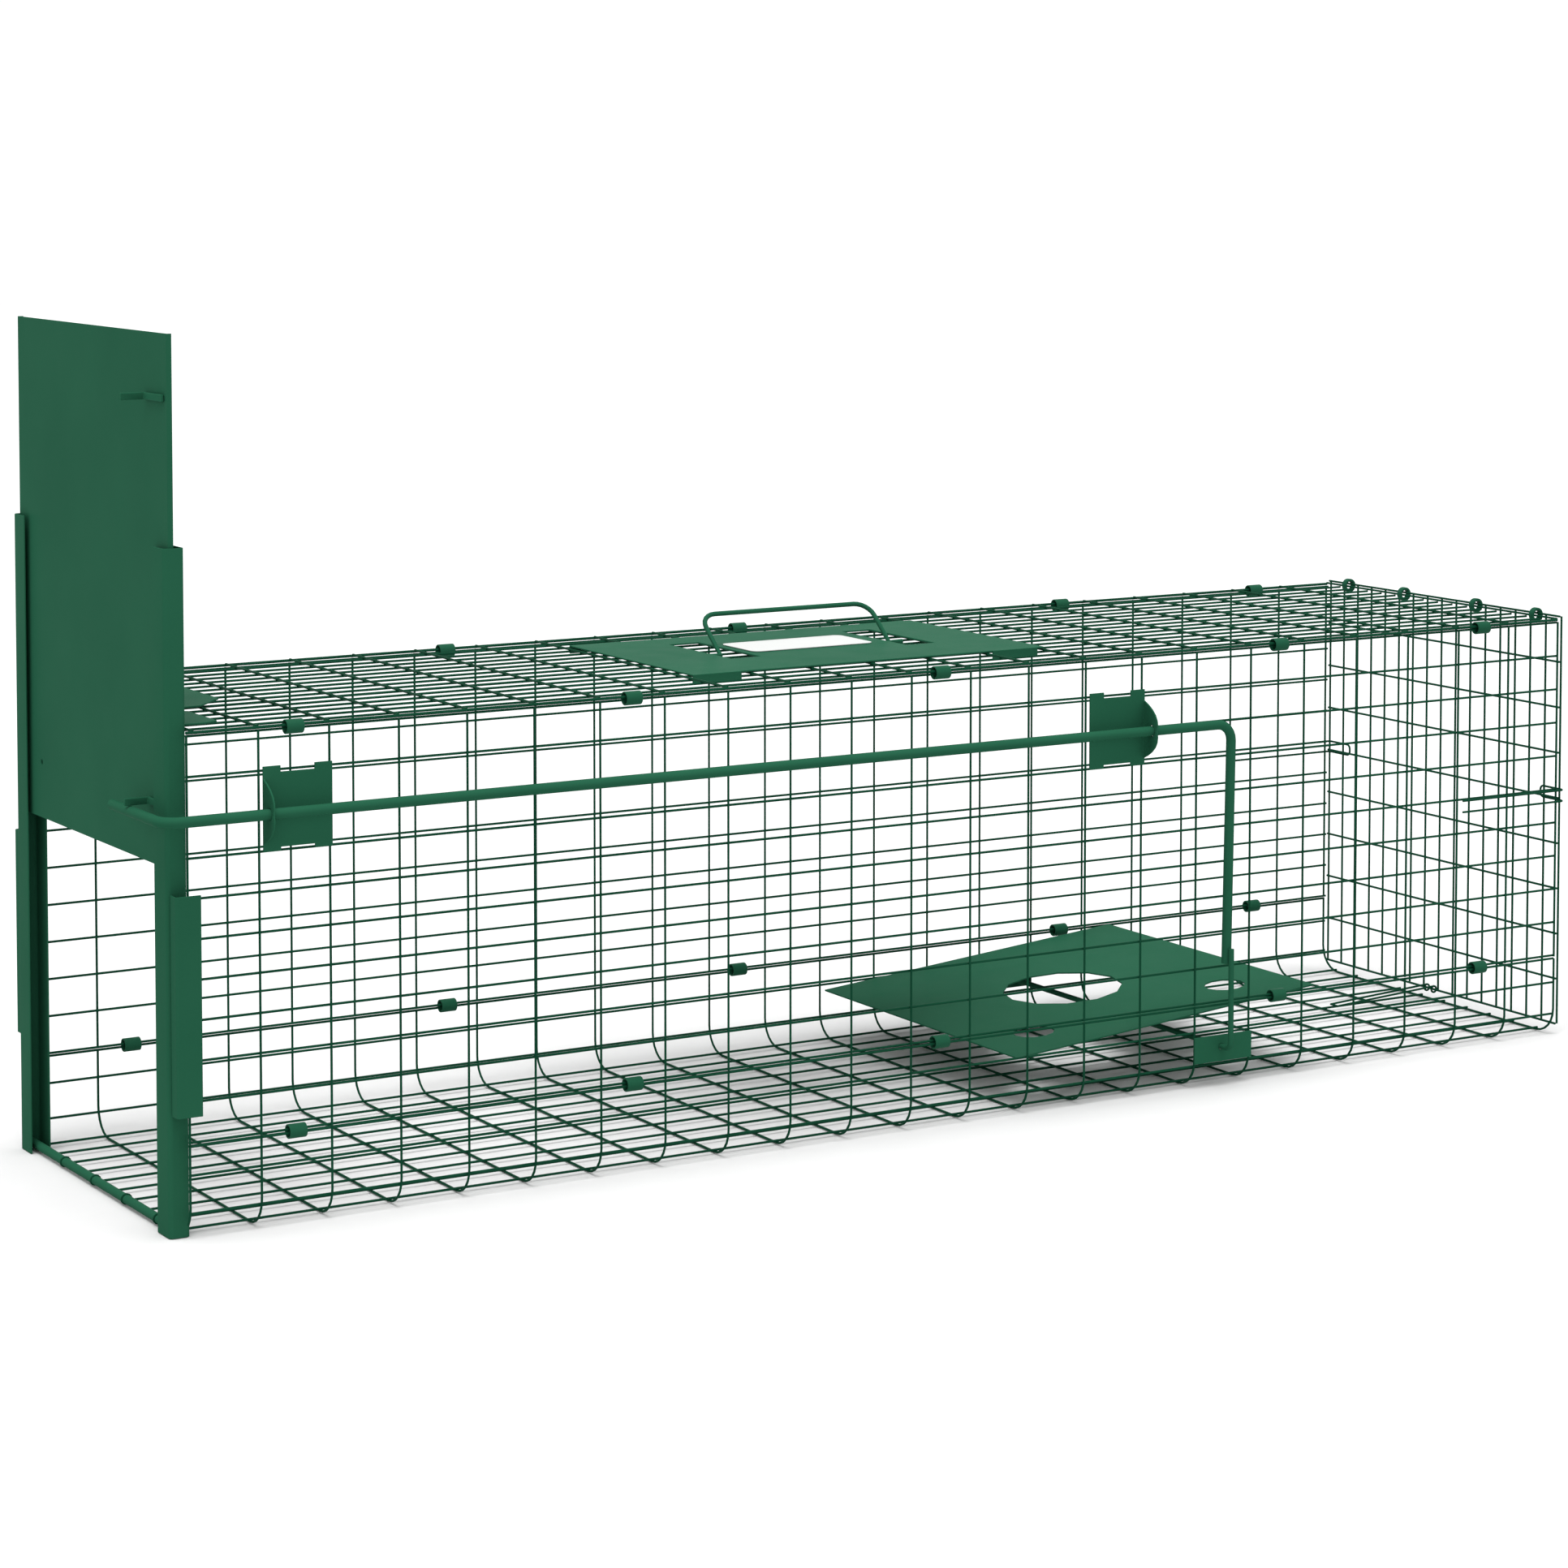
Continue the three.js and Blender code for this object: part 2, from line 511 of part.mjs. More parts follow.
// A plate hooked on two mesh wires, with a round ear at one edge that carries the rod.
function rodBracket(front, earAtRear) {
  const { tab, notch, lowNotch, over, ear: rise, lip } = ROD_BRACKET;
  const low = ROD_HEIGHT - SIDE_CELL_HEIGHT;
  const high = ROD_HEIGHT + SIDE_CELL_HEIGHT + over;
  const rear = front + ROD_BRACKET.width;
  const plate = outline([
    [front, low], [front + tab, low], [front + tab, low + lowNotch], [rear - tab, low + lowNotch],
    [rear - tab, low], [rear, low], [rear, high], [rear - tab, high],
    [rear - tab, high - notch], [front + tab, high - notch], [front + tab, high], [front, high],
  ]);
  const flat = standAlong(sheetOf(plate, SHEET)).translate(0, SHEET_Y, 0);
  const reach = SHEET_Y - ROD_Y + ROD_RADIUS + lip;
  const ear = new THREE.Shape();
  ear.moveTo(SHEET_Y, ROD_HEIGHT + rise);
  const pullY = SHEET_Y - EAR_PULL.out * reach;
  ear.quadraticCurveTo(pullY, ROD_HEIGHT + rise * EAR_PULL.up, SHEET_Y - reach, ROD_HEIGHT);
  ear.quadraticCurveTo(pullY, ROD_HEIGHT - rise * EAR_PULL.up, SHEET_Y, ROD_HEIGHT - rise);
  ear.holes.push(roundHole(ROD_Y, ROD_HEIGHT, ROD_RADIUS + CLEARANCE));
  const earX = earAtRear ? rear - SHEET : front;
  return join([flat, standAcross(sheetOf(ear, SHEET)).translate(earX, 0, 0)]);
}

// The treadle plate with two folded lugs, drawn level with the axle at its origin.
function treadlePlate() {
  const rear = TREADLE_LENGTH / 2 - TREADLE_AHEAD;
  const front = rear - TREADLE_LENGTH;
  const half = TREADLE_WIDTH / 2;
  const shape = outline([[front, -half], [rear, -half], [rear, half], [front, half]]);
  shape.holes.push(roundHole(-TREADLE_AHEAD - TREADLE_HOLE.ahead, 0, TREADLE_HOLE.radius));
  [-1, 1].forEach((end) =>
    shape.holes.push(
      roundHole(-TREADLE_AHEAD + end * TREADLE_SMALL_HOLE.x, TREADLE_SMALL_HOLE.y, TREADLE_SMALL_HOLE.radius),
    ));
  const parts = [sheetOf(shape, SHEET).translate(0, 0, TREADLE_RISE)];
  [LUG.near, LUG.far].forEach((y) => {
    const lug = outline([
      [-LUG.width / 2, TREADLE_RISE + SHEET / 2], [-LUG.drop, -LUG.drop], [LUG.drop, -LUG.drop],
      [LUG.width / 2, TREADLE_RISE + SHEET / 2],
    ]);
    lug.holes.push(roundHole(0, 0, AXLE_RADIUS + CLEARANCE));
    parts.push(standAlong(sheetOf(lug, SHEET)).translate(0, y, 0));
  });
  const tilt = -THREE.MathUtils.degToRad(TREADLE_TILT);
  return join(parts).rotateY(tilt).translate(AXLE_X, 0, AXLE_HEIGHT);
}

function axleAndArm() {
  const farEnd = CAGE_FACE + CLEARANCE + SHEET + AXLE_OVERHANG;
  return bar(
    [vec(AXLE_X, farEnd, AXLE_HEIGHT), vec(AXLE_X, ARM_Y, AXLE_HEIGHT), vec(AXLE_X, ARM_Y, ARM_TOP)],
    AXLE_RADIUS,
    AXLE_BEND,
  );
}

function axlePlate() {
  const front = AXLE_X - AXLE_PLATE.length / 2 + AXLE_PLATE.offset;
  const shape = outline([
    [front, AXLE_PLATE.bottom], [front + AXLE_PLATE.length, AXLE_PLATE.bottom],
    [front + AXLE_PLATE.length, AXLE_PLATE.top], [front, AXLE_PLATE.top],
  ]);
  shape.holes.push(roundHole(AXLE_X, AXLE_HEIGHT, AXLE_RADIUS + CLEARANCE));
  return standAlong(sheetOf(shape, SHEET)).translate(0, SHEET_Y, 0);
}

// ---------- carrying ----------
function handlePlate() {
  const { width, tabGap, tabInset, drop } = HANDLE_PLATE;
  const half = width / 2;
  const tab = CELL_LENGTH - tabGap; // each folded tab fits between two crosswise wires
  const parts = [block(vec(PLATE_FRONT, -half, ON_TOP), vec(PLATE_REAR, half, ON_TOP + SHEET))];
  [-1, 1].forEach((side) =>
    [PLATE_FRONT, PLATE_REAR - tab - tabInset].forEach((from) =>
      parts.push(
        block(
          vec(from, Math.min(side * half, side * (half + SHEET)), ON_TOP - drop + SHEET),
          vec(from + tab, Math.max(side * half, side * (half + SHEET)), ON_TOP + SHEET),
        ),
      )));
  const slots = [
    [FRONT_LEG - SLOT.outward, FRONT_LEG + SLOT.inward], [REAR_LEG - SLOT.inward, REAR_LEG + SLOT.outward],
  ].map(([from, to]) =>
    block(
      vec(from, SLOT.y - SLOT.length / 2, ON_TOP - SHEET),
      vec(to, SLOT.y + SLOT.length / 2, ON_TOP + 2 * SHEET),
    ));
  return cut(join(parts), slots);
}

function label() {
  const low = vec(PLATE_X - LABEL.length / 2, LABEL.y - LABEL.width / 2, ON_TOP + SHEET + CLEARANCE);
  return block(low, low.clone().add(vec(LABEL.length, LABEL.width, LABEL.thick)));
}

function carryHandle() {
  const lean = THREE.MathUtils.degToRad(HANDLE_LEAN);
  const gripY = HANDLE_PIVOT_Y + HANDLE_REACH * Math.cos(lean);
  const gripZ = HANDLE_PIVOT_Z + HANDLE_REACH * Math.sin(lean);
  const points = roundedPath(
    [
      vec(FRONT_LEG, HANDLE_PIVOT_Y, HANDLE_PIVOT_Z), vec(FRONT_LEG, gripY, gripZ),
      vec(REAR_LEG, gripY, gripZ), vec(REAR_LEG, HANDLE_PIVOT_Y, HANDLE_PIVOT_Z),
    ],
    HANDLE_BEND,
    5,
  );
  const leftPin = vec(FRONT_LEG - HANDLE_PIN, HANDLE_PIVOT_Y, HANDLE_PIVOT_Z);
  const rightPin = vec(REAR_LEG + HANDLE_PIN, HANDLE_PIVOT_Y, HANDLE_PIVOT_Z);
  return bar([leftPin, ...points, rightPin], HANDLE_RADIUS, PIN_BEND, 10, 1);
}

// ---------- rear latches ----------
// A hairpin of spring wire, drawn with its legs along X, its hooks towards +Y and its pivot at the origin.
function latch(reach) {
  const z = LATCH.legs / 2;
  const behind = REAR_DOOR_X + LAYER / 2 + WIRE / 2 + CLEARANCE + LATCH_WIRE / 2 - LATCH_FRONT;
  const points = [
    vec(behind, reach, z), vec(behind, 0, z), vec(0, 0, z), vec(0, 0, -z), vec(behind, 0, -z),
    vec(behind, reach, -z),
  ];
  return bar(points, LATCH_WIRE / 2, LATCH.bend, 8, 3);
}

// ---------- the assembly ----------
const trap = new THREE.Group();

function add(name, geometry, material, place = vec(0, 0, 0)) {
  const mesh = new THREE.Mesh(geometry, material.clone());
  mesh.name = name;
  mesh.position.copy(place);
  trap.add(mesh);
  return mesh;
}

add("floor_tray", tray(), wireGreen);
add("side_panel_near", sidePanel(-1), wireGreen);
add("side_panel_far", sidePanel(1), wireGreen);
add("top_panel", topPanel(), wireGreen);
add("rear_door", rearDoor(), wireGreen);

const seamZ = (SEAM_HEIGHT + TRAY_EDGE) / 2;
const eavesZ = (SIDE_TOP + TOP_HEIGHT) / 2;
[["near", -1], ["far", 1]].forEach(([side, sign]) =>
  [["seam", seamZ], ["eaves", eavesZ]].forEach(([row, z]) =>
    CLIP_CELLS.forEach((cells, i) =>
      add(`clip_${side}_${row}_${i + 1}`, clip(), sheetGreen, vec(cells * CELL_LENGTH, sign * EDGE_Y, z)))));

const ringAt = vec((MESH_REAR + REAR_DOOR_X) / 2, 0, (TOP_HEIGHT + REAR_DOOR_TOP) / 2);
[["near", -1], ["far", 1]].forEach(([side, sign]) =>
  Object.entries(HINGE_RING_CELLS).forEach(([row, cells]) =>
    add(`hinge_ring_${side}_${row}`, hingeRing(), sheetGreen,
      ringAt.clone().setY((sign * cells * 2 * EDGE_Y) / TOP_CELLS_ACROSS))));

add("door_guide_far", rail(), sheetGreen);
add("door_guide_near", mirrored(rail()), sheetGreen);
add("guide_clamp_far", connector(), sheetGreen);
add("guide_clamp_near", mirrored(connector()), sheetGreen);
add("sill_bar", sill(), sheetGreen);
add("top_bridge", bridge(), sheetGreen);

add("drop_door", door(), sheetGreen);
add("door_catch_lower", catchStrip(LOWER_CATCH), sheetGreen);
add("door_catch_upper", catchStrip(LOWER_CATCH + UPPER_CATCH_RISE), sheetGreen);

add("trigger_rod", triggerRod(), sheetGreen);
add("rod_bracket_front", rodBracket(ROD_BRACKET_FRONT[0], false), sheetGreen);
add("rod_bracket_rear", rodBracket(ROD_BRACKET_FRONT[1], true), sheetGreen);
add("treadle_plate", treadlePlate(), sheetGreen);
add("treadle_axle", axleAndArm(), sheetGreen);
add("axle_plate_near", axlePlate(), sheetGreen);
add("axle_plate_far", mirrored(axlePlate()), sheetGreen);

add("handle_plate", handlePlate(), sheetGreen);
add("label_plate", label(), labelWhite);
add("carry_handle", carryHandle(), sheetGreen);

const latchY = CAGE_FACE + CLEARANCE + LATCH_WIRE / 2;
add("latch_near", latch(LATCH.reach), wireGreen, vec(LATCH_FRONT, -latchY, LATCH.height));
add("latch_far", mirrored(latch(LATCH.reach)), wireGreen, vec(LATCH_FRONT, latchY, LATCH.height));
// The floor latch lies on the tray and hooks down over the rear door's bottom wire.
const overSill = REAR_DOOR_BOTTOM + WIRE / 2 + LATCH_WIRE / 2 + 2 * CLEARANCE;
const climb = Math.atan2(overSill - LATCH.floorHeight, REAR_DOOR_X - WIRE - LATCH_FRONT);
const floorLatch = latch(LATCH.floorReach).rotateX(-Math.PI / 2).rotateY(-climb);
const betweenUprights = EDGE_Y / TOP_CELLS_ACROSS;
add("latch_floor", floorLatch, wireGreen, vec(LATCH_FRONT, betweenUprights, LATCH.floorHeight));

const box = new THREE.Box3().setFromObject(trap, true);
const centre = box.getCenter(vec(0, 0, 0));
trap.position.set(-centre.x, -centre.y, -box.min.z);

export default trap;
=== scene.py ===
# %% [markdown]
# A live catch trap: a long cage of green coated wire mesh with a sheet-steel drop door at its front.
# The imported frame holds every solid where it belongs. This first step loads it. Nothing that is
# added later may make the trap any bigger.
# %% Load the imported frame
import json
import math
import bpy
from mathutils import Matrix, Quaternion, Vector

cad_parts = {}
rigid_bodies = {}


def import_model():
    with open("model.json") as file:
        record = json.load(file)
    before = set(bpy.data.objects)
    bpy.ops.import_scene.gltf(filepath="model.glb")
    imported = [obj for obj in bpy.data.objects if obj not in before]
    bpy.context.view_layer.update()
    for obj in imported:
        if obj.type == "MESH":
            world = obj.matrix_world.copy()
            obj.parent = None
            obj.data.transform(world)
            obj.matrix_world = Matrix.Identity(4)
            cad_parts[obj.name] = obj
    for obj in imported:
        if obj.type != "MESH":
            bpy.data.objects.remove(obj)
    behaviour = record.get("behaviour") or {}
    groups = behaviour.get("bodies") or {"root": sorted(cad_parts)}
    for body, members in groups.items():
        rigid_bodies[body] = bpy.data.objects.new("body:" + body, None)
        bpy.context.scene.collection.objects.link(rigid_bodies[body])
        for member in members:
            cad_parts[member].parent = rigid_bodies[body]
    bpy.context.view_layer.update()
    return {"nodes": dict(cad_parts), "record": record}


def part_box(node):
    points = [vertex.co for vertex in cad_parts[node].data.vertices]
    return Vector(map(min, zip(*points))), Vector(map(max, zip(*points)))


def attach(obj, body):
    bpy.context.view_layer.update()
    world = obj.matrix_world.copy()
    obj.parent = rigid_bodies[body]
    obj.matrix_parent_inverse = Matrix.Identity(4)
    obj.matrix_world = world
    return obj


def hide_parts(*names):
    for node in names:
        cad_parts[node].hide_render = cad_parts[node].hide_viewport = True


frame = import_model()

# %% [markdown]
# The camera stands ahead of the trap's near side and a little above it. Part of its downward look comes
# from tilting it and part from shifting the picture: a full shift would keep every upright exactly
# parallel, but it would push the trap out of the frame as soon as the camera walks round to the back.
# %% Camera
SENSOR, LENS = 36.0, 93.29441  # millimetres
TILT, TURN, SHIFT = math.radians(3.626), -0.5373, -0.26
CAMERA_PLACE = (-1.4937, -2.4432, 0.6916)
bpy.ops.object.select_all(action="DESELECT")
bpy.ops.object.camera_add(location=CAMERA_PLACE, rotation=(math.pi / 2 - TILT, 0, TURN))
camera = bpy.context.object
camera.data.lens = LENS
camera.data.sensor_width = SENSOR
camera.data.shift_y = SHIFT
camera.data.clip_end = 100
bpy.context.scene.camera = camera
print("camera", tuple(round(v, 3) for v in camera.location))

# %% [markdown]
# The trap stands on a plain pale floor. It could curve up into a wall, but a wide flat plane that is
# lit as brightly as the room behind it loses its horizon just as well, and is simpler.
# %% Floor
FLOOR_SIZE, FLOOR_DROP = 24, 0.0004


def alone(obj):
    """Selects this object and nothing else."""
    bpy.ops.object.select_all(action="DESELECT")
    obj.select_set(True)
    bpy.context.view_layer.objects.active = obj


bpy.ops.object.select_all(action="DESELECT")
bpy.ops.mesh.primitive_plane_add(size=FLOOR_SIZE, location=(0, 0, -FLOOR_DROP))
floor = bpy.context.object
floor.name = "pale_floor"
bpy.ops.object.transform_apply(location=True, rotation=True, scale=True)
print("floor", tuple(round(v, 2) for v in floor.dimensions))

# %% [markdown]
# Soft studio light: an evenly white room, and one very broad overhead light. The light is a sun with a
# wide disc, because a lamp near the trap would leave the far floor grey. Faces that look up are then
# about twice as bright as upright ones, and shadows are soft and stay right below what casts them.
# %% Lights
SUN_LEAN = (math.radians(8), math.radians(-6), 0)
SUN_STRENGTH, SUN_WIDTH, ROOM_STRENGTH = 3.0, math.radians(38), 1.02
bpy.ops.object.select_all(action="DESELECT")
bpy.ops.object.light_add(type="SUN", location=(0, 0, 3), rotation=SUN_LEAN)
overhead = bpy.context.object
overhead.name = "overhead_light"
overhead.data.energy, overhead.data.angle = SUN_STRENGTH, SUN_WIDTH
world = bpy.context.scene.world or bpy.data.worlds.new("pale_room")
bpy.context.scene.world = world
world.use_nodes = True
world.node_tree.nodes["Background"].inputs["Color"].default_value = (1, 1, 1, 1)
world.node_tree.nodes["Background"].inputs["Strength"].default_value = ROOM_STRENGTH
bpy.context.scene.view_settings.view_transform = "Standard"
print("room and overhead light placed")

# %% [markdown]
# The whole trap is steel in the same dark green coating, baked on as a powder. Close up such a coat
# is never even: it has slow changes of shade, a fine orange-peel surface and a patchy shine. Noise at
# three sizes gives those three things, and one function mixes them for each finish.
# %% Coating
def coating(name, dark, light, shine, peel, gloss=0.25):
    """A powder coat that drifts between two shades; shine is its roughness, peel its bumpiness."""
    made = bpy.data.materials.new(name)
    made.use_nodes = True
    nodes, links = made.node_tree.nodes, made.node_tree.links
    shader = nodes["Principled BSDF"]
    place = nodes.new("ShaderNodeTexCoord")

    def noise(scale, detail):
        node = nodes.new("ShaderNodeTexNoise")
        node.inputs["Scale"].default_value = scale
        node.inputs["Detail"].default_value = detail
        links.new(place.outputs["Object"], node.inputs["Vector"])
        return node.outputs["Fac"]

    shades = nodes.new("ShaderNodeValToRGB")
    shades.color_ramp.elements[0].position, shades.color_ramp.elements[1].position = 0.35, 0.65
    shades.color_ramp.elements[0].color = (*dark, 1)
    shades.color_ramp.elements[1].color = (*light, 1)
    blend = nodes.new("ShaderNodeMix")
    blend.inputs[0].default_value = 0.2
    links.new(noise(9, 4), blend.inputs[2])
    links.new(noise(900, 2), blend.inputs[3])
    links.new(blend.outputs[0], shades.inputs["Fac"])
    links.new(shades.outputs["Color"], shader.inputs["Base Color"])
    shader.inputs["Specular IOR Level"].default_value = gloss

    patchy = nodes.new("ShaderNodeMapRange")
    patchy.inputs["To Min"].default_value = shine - 0.06
    patchy.inputs["To Max"].default_value = shine + 0.08
    links.new(noise(40, 3), patchy.inputs["Value"])
    links.new(patchy.outputs["Result"], shader.inputs["Roughness"])

    skin = nodes.new("ShaderNodeBump")
    skin.inputs["Strength"].default_value = peel
    skin.inputs["Distance"].default_value = 0.0002
    links.new(noise(1100, 3), skin.inputs["Height"])
    links.new(skin.outputs["Normal"], shader.inputs["Normal"])
    return made


sheet_coat = coating("green_coat_on_sheet", (0.0135, 0.079, 0.043), (0.0160, 0.088, 0.048),
                     0.40, 0.12, 0.003)
wire_coat = coating("green_coat_on_wire", (0.0030, 0.037, 0.018), (0.0048, 0.050, 0.025),
                    0.50, 0.10, 0.02)
clip_coat = coating("green_coat_on_clips", (0.0100, 0.066, 0.035), (0.0125, 0.076, 0.041),
                    0.42, 0.12, 0.02)
label_face = coating("plain_white_label", (0.50, 0.51, 0.50), (0.53, 0.54, 0.53), 0.45, 0.05, 0.1)
floor_paint = coating("pale_floor_paint", (0.60, 0.60, 0.60), (0.62, 0.62, 0.62), 0.80, 0.0, 0.0)
floor.data.materials.append(floor_paint)
print("coats made:", len(bpy.data.materials))

# %% [markdown]
# Each node's record names its material slot, so the slot picks the coat. A node that a finished piece
# stands in for later still gets its coat here, and the piece then takes the same one.
# %% CAD nodes take their coat
FINISH = {"wire_green": wire_coat, "sheet_green": sheet_coat, "clip_green": clip_coat,
          "label_white": label_face}
slots = {part["node"]: part["material_slot"] for part in frame["record"]["subparts"]}
home = {node: body for body, nodes in frame["record"]["behaviour"]["bodies"].items() for node in nodes}
for node, obj in frame["nodes"].items():
    obj.data.materials.clear()
    obj.data.materials.append(FINISH[slots[node]])
print("nodes coated:", len(slots))

# %% [markdown]
# Every finished piece is handled the same way: its place goes into its mesh, it takes the coat of the
# node it stands for, and it rides on that node's body so that it moves as the node would.
# %% Handing a piece over
def hand_over(obj, name, *nodes):
    """Names a finished piece, coats it like the nodes it replaces, and lets it ride on their body."""
    alone(obj)
    bpy.ops.object.transform_apply(location=True, rotation=True, scale=True)
    obj.name = obj.data.name = name
    obj.data.materials.clear()
    obj.data.materials.append(FINISH[slots[nodes[0]]])
    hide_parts(*nodes)
    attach(obj, home[nodes[0]])
    return obj


def smooth(obj, degrees=40):
    """Shades the piece smooth, with sharp edges kept above this angle."""
    alone(obj)
    bpy.ops.object.shade_smooth_by_angle(angle=math.radians(degrees))


def joined(parts):
    """Joins separate meshes into the first of them."""
    bpy.ops.object.select_all(action="DESELECT")
    for part in parts:
        part.select_set(True)
    bpy.context.view_layer.objects.active = parts[0]
    if len(parts) > 1:
        bpy.ops.object.join()
    return bpy.context.object


print("ready to build pieces")

# %% [markdown]
# Wire is drawn rod: round, one thickness, and bent over a former. A curve with a round bevel is just
# that, so each wire starts as a path through its corners, with every corner turned into an arc.
# The curve is then made a mesh with closed ends.
# %% Bent wire
def rounded(points, radius, steps=6):
    """The points of a path, each inner corner replaced by an arc of this radius."""
    points = [Vector(p) for p in points]
    path = [points[0]]
    for before, here, after in zip(points, points[1:], points[2:]):
        back, on = (before - here).normalized(), (after - here).normalized()
        half = back.angle(on) / 2
        centre = here + (back + on).normalized() * radius / math.sin(half)
        start, end = (here + way * radius / math.tan(half) - centre for way in (back, on))
        axis, sweep = start.cross(end).normalized(), start.angle(end)
        for k in range(steps + 1):
            turned = start.copy()
            turned.rotate(Quaternion(axis, sweep * k / steps))
            path.append(centre + turned)
    return path + [points[-1]]


def wire(points, radius, bend=0.0, sides=2):
    """A round wire along the points; sides is the bevel resolution."""
    bpy.ops.object.select_all(action="DESELECT")
    bpy.ops.curve.primitive_nurbs_path_add(location=(0, 0, 0))
    path = bpy.context.object
    path.data.splines.clear()
    line = path.data.splines.new("POLY")
    where = rounded(points, bend) if bend else [Vector(p) for p in points]
    line.points.add(len(where) - 1)
    for point, spot in zip(line.points, where):
        point.co = (*spot, 1)
    path.data.bevel_depth, path.data.bevel_resolution = radius, sides
    path.data.use_fill_caps = True
    bpy.ops.object.convert(target="MESH")
    made = bpy.context.object
    smooth(made, 50)
    return made


print("wire helper ready")

# %% [markdown]
# The flat panels are welded mesh: one layer of wires lies across the other and is fused where they
# meet. One wire is modelled, copied at an even pitch by an array, and the array is applied. The frame's
# own boxes give the panels' edges.
# %% Mesh panels
WIRE_RADIUS, BORDER_RADIUS = 0.00086, 0.0011
CELLS_LONG, SIDE_ROWS, TOP_CELLS, REAR_ROWS = 23, 10, 16, 9
CELL = 0.048
HALF_WIRE, HALF_END_WIRE = 0.00075, 0.0008  # of the solid wires that the round ones stand for
OVERRUN = 0.0006  # how far a wire runs past the last one that it crosses
FUSED = 0.95  # two fused layers stand this share of a wire apart
GUIDE_GAP = 0.0015  # from a door guide to the first wire behind it


def row_of(points, step, count, bend=0.0):
    """One wire, repeated count times at the given step."""
    made = wire(points, WIRE_RADIUS, bend, sides=1)
    if count > 1:
        repeat = made.modifiers.new("repeat", "ARRAY")
        repeat.use_relative_offset, repeat.use_constant_offset = False, True
        repeat.constant_offset_displace = step
        repeat.count = count
        alone(made)
        bpy.ops.object.modifier_apply(modifier=repeat.name)
    return made


low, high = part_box("side_panel_near")
rear_x = high[0] - HALF_END_WIRE
front_x = low[0] + HALF_END_WIRE
grid_x = rear_x - CELLS_LONG * CELL
seam_z, eaves_z = low[2] + HALF_WIRE, high[2] - HALF_WIRE
row_z = (eaves_z - seam_z) / SIDE_ROWS
for side, sign in (("near", -1), ("far", 1)):
    low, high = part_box("side_panel_" + side)
    outside = (low[1] + WIRE_RADIUS) if sign < 0 else (high[1] - WIRE_RADIUS)
    inside = outside - sign * 2 * WIRE_RADIUS * FUSED
    uprights = row_of([(grid_x + CELL, outside, seam_z - OVERRUN),
                       (grid_x + CELL, outside, eaves_z + OVERRUN)], (CELL, 0, 0), CELLS_LONG - 1)
    lengthwise = row_of([(front_x, inside, seam_z), (rear_x + OVERRUN, inside, seam_z)],
                        (0, 0, row_z), SIDE_ROWS + 1)
    ends = [row_of([(x, outside, seam_z - OVERRUN), (x, outside, eaves_z + OVERRUN)], (0, 0, 0), 1)
            for x in (front_x, rear_x)]
    hand_over(joined([uprights, lengthwise, *ends]), f"side_mesh_{side}", f"side_panel_{side}")

low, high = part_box("top_panel")
roof_low, roof_high = low[2] + WIRE_RADIUS, high[2] - WIRE_RADIUS
near_y, far_y = low[1] + HALF_END_WIRE, high[1] - HALF_END_WIRE
pitch = (far_y - near_y) / TOP_CELLS
across = row_of([(grid_x + CELL, near_y, roof_high), (grid_x + CELL, far_y, roof_high)],
                (CELL, 0, 0), CELLS_LONG)
behind_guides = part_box("door_guide_near")[1][0] + GUIDE_GAP
first = row_of([(behind_guides, near_y, roof_high), (behind_guides, far_y, roof_high)], (0, 0, 0), 1)
lengthwise = row_of([(behind_guides, near_y + pitch, roof_low), (rear_x, near_y + pitch, roof_low)],
                    (0, pitch, 0), TOP_CELLS - 1)
roof_edge = (roof_low + roof_high) / 2
edges = [wire([(front_x, y, roof_edge), (rear_x, y, roof_edge)], BORDER_RADIUS, sides=1)
         for y in (near_y, far_y)]
hand_over(joined([across, first, lengthwise, *edges]), "top_mesh", "top_panel")

low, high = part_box("rear_door")
door_y0, door_y1 = low[1] + HALF_END_WIRE, high[1] - HALF_END_WIRE
door_z0, door_z1 = low[2] + HALF_END_WIRE, high[2] - HALF_END_WIRE
out_x, in_x = high[0] - WIRE_RADIUS, low[0] + WIRE_RADIUS
uprights = row_of([(out_x, door_y0, door_z0), (out_x, door_y0, door_z1)],
                  (0, (door_y1 - door_y0) / TOP_CELLS, 0), TOP_CELLS + 1)
crosswise = row_of([(in_x, door_y0, door_z0), (in_x, door_y1, door_z0)],
                   (0, 0, (door_z1 - door_z0) / REAR_ROWS), REAR_ROWS + 1)
hand_over(joined([uprights, crosswise]), "rear_door_mesh", "rear_door")
print("side, top and rear meshes built; cell rows", round(row_z * 1000, 2), "mm")

# %% [markdown]
# The tray is one sheet of mesh folded up at both sides, so its crosswise wires are hoops with rounded
# corners. Its floor wires run forward over the sill bar, and every other one is wrapped once round it,
# which is what holds the bar. A wrap is a short coil, so its path is a helix of one turn.
# %% Floor tray
LOWER_ROWS = ((0.0399, 0.0016), (0.0158, 0.0020))  # height of a lengthwise side wire, and its inset
WRAPPED = (1, 3, 5, 7)  # the floor wires that go round the sill bar
WRAP_START, WRAP_STEP, WRAP_POINTS = -32, 30, 12  # degrees, degrees and a count
WRAP_DRIFT = 0.0012  # a wrap's move sideways in half a turn
RUN_GAP = 0.0012  # from just behind the bar to where a wrapped wire runs straight
EDGE_INSET = 0.0006
low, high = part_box("floor_tray")
edge_z = high[2] - HALF_END_WIRE
near_y, far_y = low[1] + WIRE_RADIUS, high[1] - WIRE_RADIUS
floor_z = WIRE_RADIUS
CORNER = 0.019
hoop = [(grid_x + CELL, near_y, edge_z), (grid_x + CELL, near_y, floor_z),
        (grid_x + CELL, far_y, floor_z), (grid_x + CELL, far_y, edge_z)]
